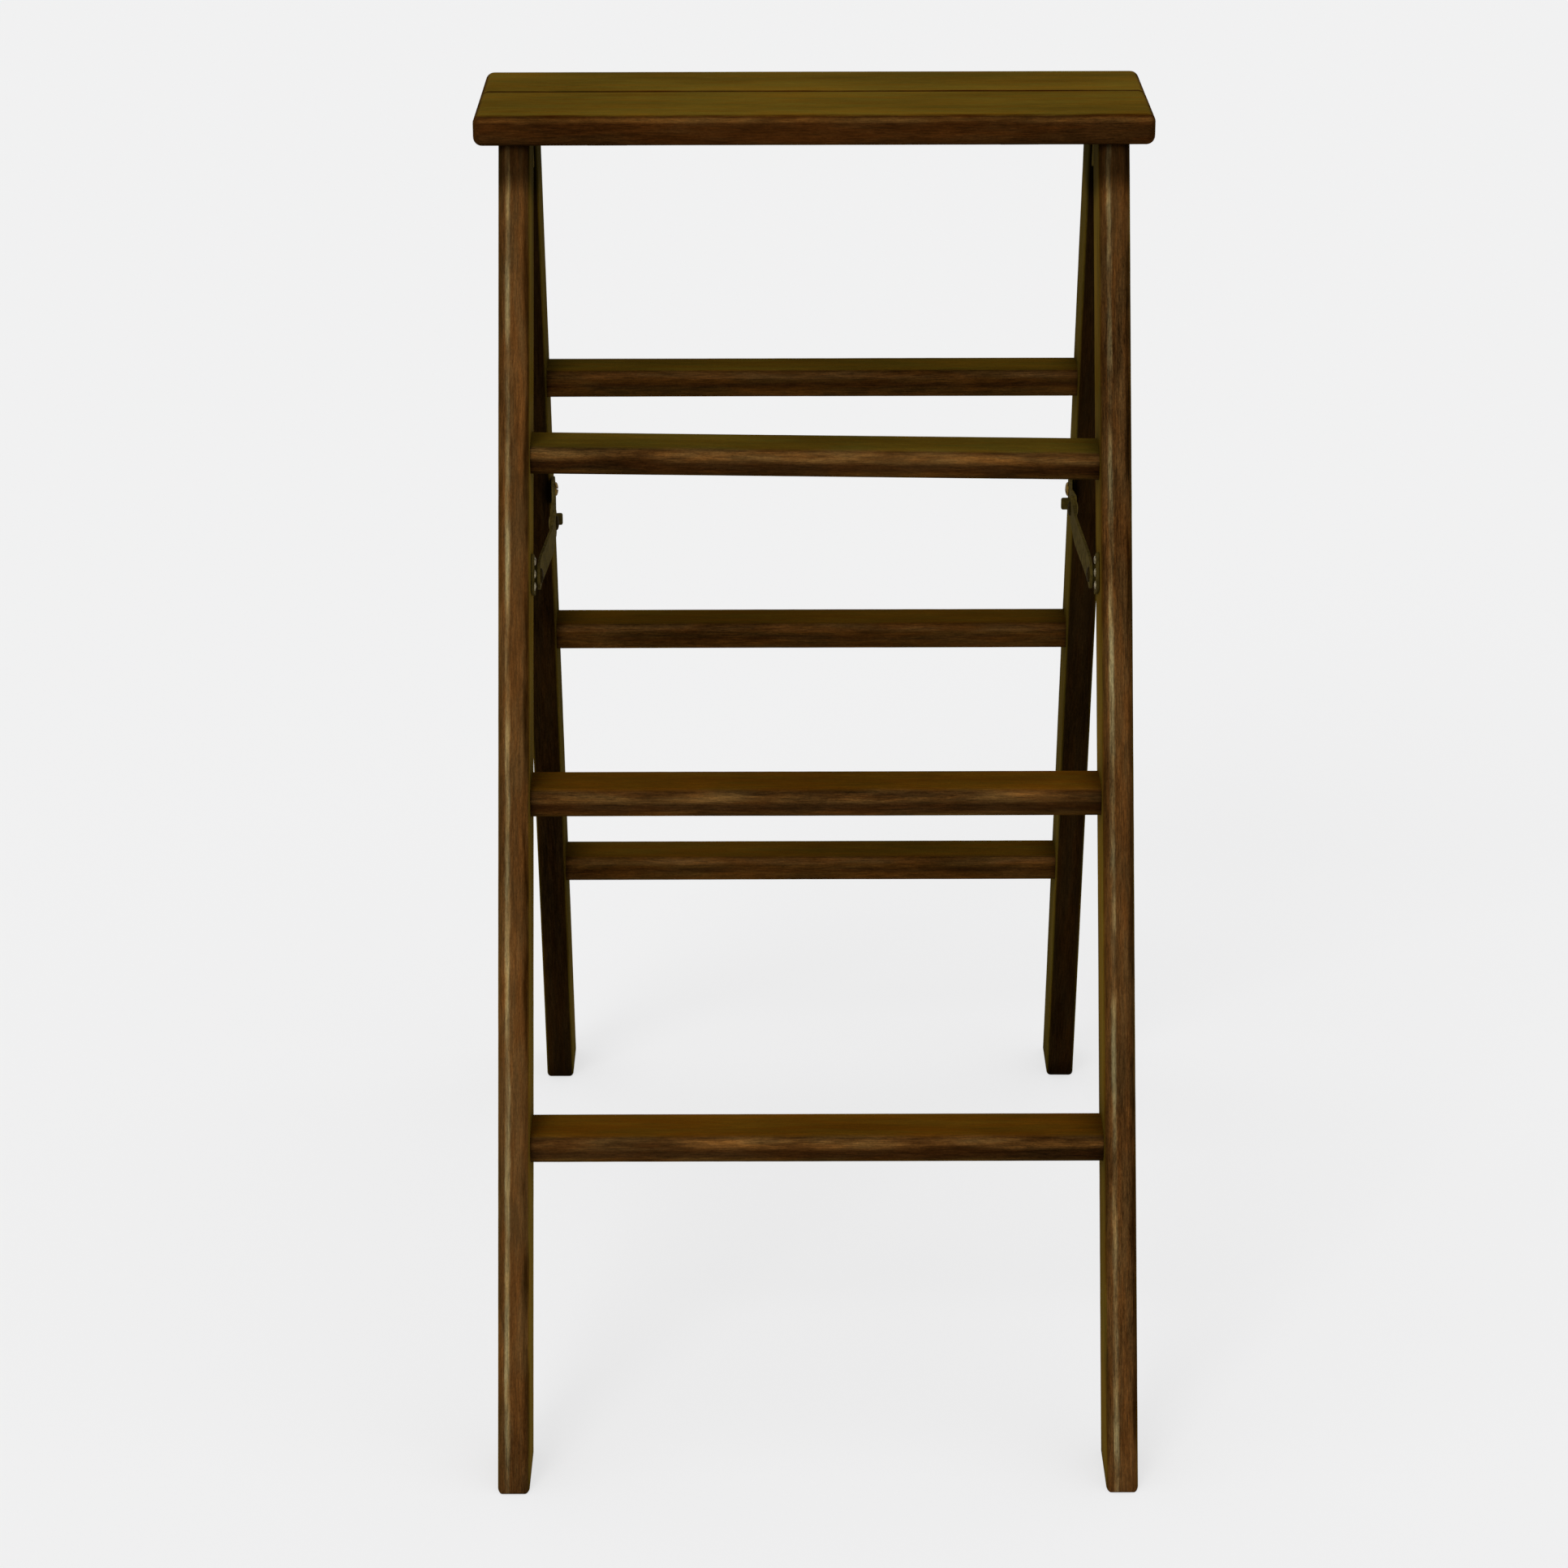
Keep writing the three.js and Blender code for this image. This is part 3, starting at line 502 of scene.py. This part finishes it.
def rail_plank(name, frame_matrix, lean, x, drop):
    """A rail from the floor to a level cut `drop` below the boards' underside."""
    length = (UNDERSIDE - drop) / math.cos(lean)
    piece = plank(name, length, RAIL_DEPTH, STOCK, rail_edges, math.tan(lean))
    top_end = RAIL_DEPTH / 2 * math.tan(lean) - drop / math.cos(lean)
    place = Matrix.Translation((x, RAIL_DEPTH / 2, top_end - length / 2))
    piece.matrix_world = frame_matrix @ place @ RAIL_AXES
    return piece


def make_frame(prefix, frame_matrix, lean, facing, drop, rail_look, tread_look, seed):
    body = prefix + "_frame"
    pockets = []
    for i, row in enumerate(TREAD_ROWS):
        node = f"{prefix}_tread_{row}"
        tilt = UPPER_TREAD_TILT if node == "front_tread_upper" else 0.0
        pockets.append(tread_plank(node, tilt, -facing, CLEARANCE / 2))
        tread = tread_plank(node, tilt, -facing)
        hand_worked(tread, seed + i)
        smooth(tread)
        look = dict(tread_look)
        # The upper treads' tops take more painted sheen.
        if row == "upper":
            look["top"] = UPPER_TREAD_TOP_SHEEN[prefix]
        material = wood(node + "_wood", seed + i, TREAD_THICKNESS, **look)
        show(tread, node, body, material)
    for i, (side_name, side) in enumerate(SIDES.items()):
        node = f"{prefix}_rail_{side_name}"
        rail = rail_plank(node + "_look", frame_matrix, lean, side * facing * RAIL_CENTRE, drop)
        hand_worked(rail, seed + 5 + i)
        cut(rail, pockets)
        smooth(rail)
        # Where the painted shadow of the top boards starts on this rail.
        shadow_from = rail.dimensions.x / 2 - SHADOWED_END
        material = wood(
            node + "_wood", seed + 5 + i, STOCK, **rail_look, shadow_from=shadow_from
        )
        show(rail, node, body, material)
    remove(pockets)


def board_edges(seam_side):
    def radius_of(axis, y, z):
        at_seam = y * seam_side > 0.5
        return SEAM_RADIUS if at_seam and axis in "xz" else EDGE_RADIUS

    return radius_of


def make_top():
    holes = [
        rail_plank(
            "pocket", FRONT_FRAME, FRONT_LEAN, side * RAIL_CENTRE, -RAIL_HOUSING
        )
        for side in SIDES.values()
    ]
    for seed, (node, seam_side) in enumerate(
        (("top_board_front", 1), ("top_board_rear", -1)), start=40
    ):
        spans = size(node)
        board = plank(node + "_look", spans.x, spans.y, spans.z, board_edges(seam_side))
        for vertex in board.data.vertices:
            if vertex.co.y * seam_side > spans.y / 2 - 2 * MM:
                wave = noise.noise(Vector((vertex.co.x * 22, seed, 0)))
                vertex.co.y -= seam_side * 0.5 * MM * (wave + 0.4)
        hand_worked(board, seed, 0.25 * MM)
        board.matrix_world = Matrix.Translation(middle(node))
        if node == "top_board_front":
            cut(board, holes)
        smooth(board)
        material = wood(node + "_wood", seed, spans.z, **TOP_LOOK)
        show(board, node, "front_frame", material)
    remove(holes)
    for seed, side_name in enumerate(SIDES, start=50):
        node = f"top_batten_{side_name}"
        spans = size(node)
        batten = plank(
            node + "_look", spans.y, spans.x, spans.z, lambda axis, y, z: BATTEN_RADIUS
        )
        hand_worked(batten, seed)
        batten.matrix_world = Matrix.Translation(middle(node)) @ Matrix.Rotation(
            math.pi / 2, 4, "Z"
        )
        smooth(batten)
        material = wood(node + "_wood", seed, spans.z, **TOP_LOOK)
        show(batten, node, "front_frame", material)


# ---- metal ----
def plated_steel():
    """Dull yellow-grey plating with fine scratches and darker worn patches."""
    shader = Shader("plated_steel")
    place = shader.coordinates()
    cloud = shader.noise(shader.scaled(place, (160, 160, 160)), 4, 0.6)
    scratch = shader.noise(shader.scaled(place, (2500, 260, 3200)), 2, 0.6)
    speck = shader.noise(shader.scaled(place, (900, 900, 900)), 2, 0.7)
    colour = shader.mix(shader.remap(cloud, 0.35, 0.7), srgb(78, 65, 28), srgb(57, 47, 19))
    colour = shader.mix(shader.remap(speck, 0.62, 0.75, 0.0, 0.6), colour, srgb(34, 26, 11))
    shader.plug(shader.bsdf.inputs["Base Color"], colour)
    rough = shader.remap(scratch, 0.3, 0.7, 0.38, 0.6)
    shader.plug(shader.bsdf.inputs["Roughness"], rough)
    shader.plug(shader.bsdf.inputs["Normal"], shader.bump(scratch, 0.02 * MM, 0.6))
    shader.bsdf.inputs["Metallic"].default_value = 0.04
    shader.bsdf.inputs["Specular IOR Level"].default_value = 0
    return shader.material


def turned_metal(name, light, dark, roughness, metallic):
    """A turned, plated fastener: light metal with tarnish in blotches."""
    shader = Shader(name)
    place = shader.coordinates()
    tarnish = shader.noise(shader.scaled(place, (420, 420, 420)), 3, 0.6)
    turned = shader.noise(shader.scaled(place, (1500, 1500, 6000)), 2, 0.6)
    colour = shader.mix(shader.remap(tarnish, 0.45, 0.7, 0.0, 0.8), light, dark)
    shader.plug(shader.bsdf.inputs["Base Color"], colour)
    rough = shader.remap(tarnish, 0.4, 0.7, roughness, roughness + 0.25)
    shader.plug(shader.bsdf.inputs["Roughness"], rough)
    shader.plug(shader.bsdf.inputs["Normal"], shader.bump(turned, 0.01 * MM, 0.5))
    shader.bsdf.inputs["Metallic"].default_value = metallic
    shader.bsdf.inputs["Specular IOR Level"].default_value = 0
    return shader.material


def turned_piece(name, profile, segments=32):
    """A closed turned shape about Z from (radius, height) points, both ends on the axis."""
    bm = bmesh.new()
    line = [bm.verts.new((radius, 0, height)) for radius, height in profile]
    edges = [bm.edges.new(pair) for pair in zip(line, line[1:])]
    bmesh.ops.spin(
        bm, geom=line + edges, cent=(0, 0, 0), axis=(0, 0, 1), angle=2 * math.pi,
        steps=segments, use_merge=True,
    )
    bmesh.ops.remove_doubles(bm, verts=bm.verts[:], dist=1e-6)
    bmesh.ops.recalc_face_normals(bm, faces=bm.faces[:])
    return object_from(bm, name)


def screw_slot(width, depth, length):
    bm = bmesh.new()
    bmesh.ops.create_cube(bm, size=1)
    for vertex in bm.verts:
        x, y, z = vertex.co
        vertex.co = (x * length, y * width, z * 2 * depth)
    return object_from(bm, "slot")


def dome(head_radius, head_height, steps=6):
    """The profile of a low domed head above height 0, from the axis to its rim."""
    rise = [i / steps * math.pi / 2 for i in range(steps + 1)]
    return [(head_radius * math.sin(a), -head_height * math.cos(a)) for a in rise]


def fastener(node, direction, body, material, kind, turn=0.0):
    """Builds a screw or rivet on a CAD node's own axis: +Z of the piece runs along direction."""
    direction = direction.normalized()
    points = [vertex.co for vertex in nodes[node].data.vertices]
    centre = sum(points, Vector()) / len(points)
    along = [(point - centre).dot(direction) for point in points]
    length = max(along) - min(along)
    radial = [
        ((point - centre) - direction * (point - centre).dot(direction)).length
        for point in points
    ]
    head_radius = max(radial)
    shank_radius = head_radius * 0.52
    if kind == "countersunk":
        head_height = head_radius * 0.55
        profile = [(0, 0), (head_radius - 0.15 * MM, 0), (head_radius, 0.2 * MM)]
        profile += [(shank_radius, head_height), (shank_radius, length * 0.93), (0, length)]
        slot_depth = 0.9 * MM
    else:
        head_height = {"round": head_radius * 0.42, "rivet": head_radius * 0.36}[kind]
        rim = 0.25 * MM
        profile = [(r, h + head_height - rim) for r, h in dome(head_radius, head_height - rim)]
        profile += [(head_radius, head_height), (shank_radius, head_height)]
        profile += [(shank_radius, length - 0.3 * MM), (shank_radius * 0.8, length), (0, length)]
        slot_depth = head_height * 0.6
    piece = turned_piece(node + "_look", profile)
    if kind != "rivet":
        slit = screw_slot(head_radius * 0.26, slot_depth, head_radius * 3)
        cut(piece, [slit])
        remove([slit])
    bevel(piece, 0.12 * MM, 2, 50)
    smooth(piece)
    axis = direction.to_track_quat("Z", "Y").to_matrix().to_4x4()
    head = centre + direction * min(along)
    piece.matrix_world = Matrix.Translation(head) @ axis @ Matrix.Rotation(turn, 4, "Z")
    return show(piece, node, body, material)


def make_fasteners():
    steel = turned_metal("screw_steel", srgb(150, 138, 108), srgb(70, 54, 30), 0.32, 0.9)
    dark = turned_metal("rivet_steel", srgb(44, 34, 14), srgb(26, 18, 6), 0.4, 0.1)
    brass = turned_metal("golden_plating", srgb(118, 92, 38), srgb(66, 46, 14), 0.3, 0.7)
    up = Vector((0, 0, 1))
    into_rear_rail = REAR_FRAME.to_3x3() @ Vector((0, -1, 0))
    turn = 0.0
    for side_name, side in SIDES.items():
        inward, outward = Vector((-side, 0, 0)), Vector((side, 0, 0))
        for prefix in ("front", "rear"):
            for row in TREAD_ROWS:
                turn += 1.1
                node = f"{prefix}_screw_{row}_{side_name}"
                fastener(
                    node, inward, prefix + "_frame", steel, "countersunk", turn
                )
            node = f"batten_screw_{prefix}_{side_name}"
            fastener(node, up, "front_frame", steel, "countersunk", turn)
        node = f"hinge_screw_top_{side_name}"
        fastener(node, up, "front_frame", steel, "countersunk", turn)
        for place in ("upper", "lower"):
            node = f"hinge_screw_{place}_{side_name}"
            fastener(
                node, into_rear_rail, "rear_frame", steel, "countersunk", turn
            )
        for place in TREAD_ROWS:
            turn += 0.7
            node = f"stay_screw_{place}_{side_name}"
            fastener(node, outward, "front_frame", steel, "round", turn)
        node = f"stay_front_rivet_{side_name}"
        fastener(node, outward, "front_frame", dark, "rivet")
        node = f"stay_knuckle_rivet_{side_name}"
        fastener(node, outward, f"stay_front_{side_name}", dark, "rivet")
        node = f"stay_rear_pivot_{side_name}"
        fastener(node, outward, "rear_frame", brass, "round", 0.4)


# ---- stays ----
def stay_line(side_name):
    """The line between one stay's pivots: its two ends, half its length and its slope."""
    front = FRONT_FRAME @ Vector((0, FRONT_PIVOT_DEPTH, -FRONT_STAY_DROP))
    rear = REAR_FRAME @ Vector((0, REAR_PIVOT_DEPTH[side_name], -REAR_STAY_DROP))
    line = rear - front
    return front, rear, line.length / 2, math.atan2(line.z, line.y)


ARM_LENGTH = math.hypot(stay_line("left")[2], LEFT_KNUCKLE_RISE)


def eased_ramp(at, start, end, ease):
    """0 before start and 1 after end, straight between, with its two corners rounded."""
    slope = 1 / (end - start)

    def corner(distance):
        if distance <= -ease:
            return 0.0
        if distance >= ease:
            return distance
        return (distance + ease) ** 2 / (4 * ease)

    return slope * (corner(at - start) - corner(at - end))


def strip(name, path, half_height):
    """A bent flat bar: path(s) gives a point and a sideways direction at each station, and
    half_height(s) its half height there. Stations run from 0 to 1."""
    bm = bmesh.new()
    stations = STRIP_STATIONS
    across = STRIP_ROWS
    corner_at = {}
    for offset in (0.0, STAY_THICKNESS):
        for i in range(stations + 1):
            s = i / stations
            point, sideways = path(s)
            for j in range(across + 1):
                height = half_height(s) * (2 * j / across - 1)
                at = point + sideways * offset + Vector((0, 0, height))
                corner_at[offset, i, j] = bm.verts.new(at)

    def skin(offset, i, j):
        return corner_at[offset, i, j]

    far = STAY_THICKNESS
    for i in range(stations):
        for j in range(across):
            for offset in (0.0, far):
                corners = [skin(offset, i, j), skin(offset, i + 1, j)]
                corners += [skin(offset, i + 1, j + 1), skin(offset, i, j + 1)]
                bm.faces.new(corners)
        for j in (0, across):
            rim = [skin(0.0, i, j), skin(0.0, i + 1, j), skin(far, i + 1, j), skin(far, i, j)]
            bm.faces.new(rim)
    for i in (0, stations):
        for j in range(across):
            rim = [skin(0.0, i, j), skin(0.0, i, j + 1), skin(far, i, j + 1), skin(far, i, j)]
            bm.faces.new(rim)
    bmesh.ops.remove_doubles(bm, verts=bm.verts[:], dist=0.02 * MM)
    bmesh.ops.recalc_face_normals(bm, faces=bm.faces[:])
    return object_from(bm, name)


def round_end(distance, radius):
    """Half height of a round end, at a distance in from its tip."""
    inside = min(distance, radius)
    return math.sqrt(max(radius**2 - (radius - inside) ** 2, (0.005 * MM) ** 2))


def arm(node, body, direction, pivot, slope, rail_x, knuckle_x, side, tab):
    """One stay arm, along Y from its rail pivot towards the knuckle, stepping from rail_x to
    knuckle_x. With a tab its end narrows and bends inwards as a thumb tab."""
    radius = STAY_HEIGHT / 2
    reach = ARM_LENGTH + radius
    tab_height = 4.5 * MM
    bend = 1.4 * MM
    tab_length = TAB_REACH[side > 0] - STAY_THICKNESS / 2
    bend_start = ARM_LENGTH + math.sqrt(radius**2 - tab_height**2) - 0.2 * MM
    bend_arc = bend * math.pi / 2
    total = radius + (bend_start + bend_arc + tab_length if tab else reach)

    def crowded(s):
        """Stations crowd towards both ends, where the outline curves."""
        return s - math.sin(2 * math.pi * s) / (2 * math.pi) * 0.85

    def path(s):
        run = crowded(s) * total - radius
        step = eased_ramp(run, RAIL_END_FLAT, ARM_LENGTH - KNUCKLE_FLAT, RAIL_END_FLAT / 2)
        x = rail_x + (knuckle_x - rail_x) * step
        if not tab or run <= bend_start:
            return Vector((x, direction * run, 0)), Vector((side, 0, 0))
        angle = min((run - bend_start) / bend, math.pi / 2)
        past = max(run - bend_start - bend_arc, 0)
        inwards = bend * (1 - math.cos(angle)) + past
        forward = bend_start + bend * math.sin(angle)
        sideways = Vector((side * math.cos(angle), direction * math.sin(angle), 0))
        return Vector((x - side * inwards, direction * forward, 0)), sideways

    def half_height(s):
        run = crowded(s) * total
        if not tab:
            return min(round_end(run, radius), round_end(total - run, radius))
        knuckle_end = round_end(max(reach + radius - run, 0), radius)
        corner = round_end(max(total - run, 0), 1.5 * MM) + tab_height - 1.5 * MM
        return min(round_end(run, radius), max(knuckle_end, min(tab_height, corner)))

    piece = strip(node + "_look", path, half_height)
    if not tab:
        add_tail(piece, direction, knuckle_x, side)
    bevel(piece, 0.3 * MM, 2, 50)
    smooth(piece)
    piece.matrix_world = Matrix.Translation((0, pivot.y, pivot.z)) @ Matrix.Rotation(
        slope, 4, "X"
    )
    return show(piece, node, body, STAY_STEEL)


def add_tail(piece, direction, knuckle_x, side):
    """The closed tail of the knuckle rivet, on the rear arm's outer face."""
    outer = knuckle_x + side * STAY_THICKNESS
    profile = [(r, -h) for r, h in dome(RIVET_HEAD_RADIUS, KNUCKLE_BOSS_HEIGHT)]
    profile += [(RIVET_HEAD_RADIUS, -0.5 * MM), (0, -0.5 * MM)]
    tail = turned_piece("tail", profile)
    tail.matrix_world = (
        Matrix.Translation((outer, direction * ARM_LENGTH, 0))
        @ Matrix.Rotation(side * math.pi / 2, 4, "Y")
    )
    modifier = piece.modifiers.new("join", "BOOLEAN")
    modifier.operation = "UNION"
    modifier.solver = "EXACT"
    modifier.object = tail
    apply_modifiers(piece)
    remove([tail])


def make_stays():
    for side_name, side in SIDES.items():
        front, rear, half, slope = stay_line(side_name)
        bend = math.acos(half / ARM_LENGTH)
        rail_x = side * (INNER_FACE - FRONT_ARM_STANDOFF - STAY_THICKNESS)
        knuckle_x = side * (INNER_FACE - KNUCKLE_STANDOFF - 2 * STAY_THICKNESS - CLEARANCE)
        node = f"stay_front_arm_{side_name}"
        body = f"stay_front_{side_name}"
        arm(node, body, 1, front, slope + bend, rail_x, knuckle_x, side, tab=True)
        rail_x = side * (INNER_FACE - REAR_ARM_STANDOFF - STAY_THICKNESS)
        knuckle_x = side * (INNER_FACE - KNUCKLE_STANDOFF - STAY_THICKNESS)
        node = f"stay_rear_arm_{side_name}"
        body = f"stay_rear_{side_name}"
        arm(node, body, -1, rear, slope - bend, rail_x, knuckle_x, side, tab=False)


def soften(node, width, material):
    """A CAD node kept as it is, with its sharp edges eased and a detailed finish."""
    piece = nodes[node]
    piece.data.materials.clear()
    piece.data.materials.append(material)
    piece.data.shade_smooth()
    flat = piece.modifiers.new("flat", "DECIMATE")
    flat.decimate_type = "DISSOLVE"
    flat.angle_limit = math.radians(0.5)
    ease = piece.modifiers.new("ease", "BEVEL")
    ease.width = width
    ease.segments = 2
    ease.limit_method = "ANGLE"
    ease.angle_limit = math.radians(40)
    normals = piece.modifiers.new("normals", "WEIGHTED_NORMAL")
    normals.keep_sharp = True


# ---- stage ----
SKY_STRENGTH = 0.75
KEY_STRENGTH = 0.9
FLOOR_GLOW = 0.65


def make_stage():
    shader = Shader("pale_floor")
    shader.bsdf.inputs["Base Color"].default_value = (0.25, 0.25, 0.25, 1)
    shader.bsdf.inputs["Emission Color"].default_value = (1, 1, 1.004, 1)
    shader.bsdf.inputs["Emission Strength"].default_value = FLOOR_GLOW
    shader.bsdf.inputs["Roughness"].default_value = 0.9
    shader.bsdf.inputs["Specular IOR Level"].default_value = 0
    bm = bmesh.new()
    bmesh.ops.create_grid(bm, x_segments=1, y_segments=1, size=60)
    floor = object_from(bm, "floor")
    floor.data.materials.append(shader.material)

    world = bpy.data.worlds.new("studio")
    world.use_nodes = True
    background = world.node_tree.nodes["Background"]
    background.inputs["Color"].default_value = (1, 1, 1, 1)
    background.inputs["Strength"].default_value = SKY_STRENGTH
    bpy.context.scene.world = world

    sun = bpy.data.lights.new("key", "SUN")
    sun.energy = KEY_STRENGTH
    sun.angle = math.radians(24)
    key = bpy.data.objects.new("key", sun)
    towards = Vector((0.45, 1.0, -0.8))
    key.rotation_mode = "QUATERNION"
    key.rotation_quaternion = towards.to_track_quat("-Z", "Y")
    bpy.context.scene.collection.objects.link(key)
    bpy.context.scene.view_settings.view_transform = "Standard"


def make_camera():
    pitch, yaw, roll = math.radians(19.85), math.radians(0.089), math.radians(-0.118)
    forward = Vector(
        (math.sin(yaw) * math.cos(pitch), math.cos(yaw) * math.cos(pitch), -math.sin(pitch))
    )
    right = Vector((math.cos(yaw), -math.sin(yaw), 0))
    up = right.cross(forward)
    rolled_right = right * math.cos(roll) + up * math.sin(roll)
    rolled_up = up * math.cos(roll) - right * math.sin(roll)
    lens = bpy.data.cameras.new("camera")
    lens.sensor_width = 36
    lens.lens = 102.2
    camera = bpy.data.objects.new("camera", lens)
    axes = Matrix((rolled_right, rolled_up, -forward)).transposed().to_4x4()
    camera.matrix_world = Matrix.Translation((-0.0275, -3.1984, 1.5455)) @ axes
    bpy.context.scene.collection.objects.link(camera)
    bpy.context.scene.camera = camera


STAY_STEEL = plated_steel()
make_stage()
make_camera()
make_frame(
    "front", FRONT_FRAME, FRONT_LEAN, 1, -RAIL_HOUSING + CLEARANCE / 2,
    FRONT_RAIL_LOOK, FRONT_TREAD_LOOK, 1,
)
make_frame(
    "rear", REAR_FRAME, REAR_LEAN, -1, CLEARANCE, REAR_RAIL_LOOK, REAR_TREAD_LOOK, 20
)
make_top()
make_stays()
make_fasteners()
for side_name in SIDES:
    for kind in ("stay_plate", "hinge_leaf_top", "hinge_leaf_rail", "hinge_pin"):
        soften(f"{kind}_{side_name}", 0.25 * MM, STAY_STEEL)
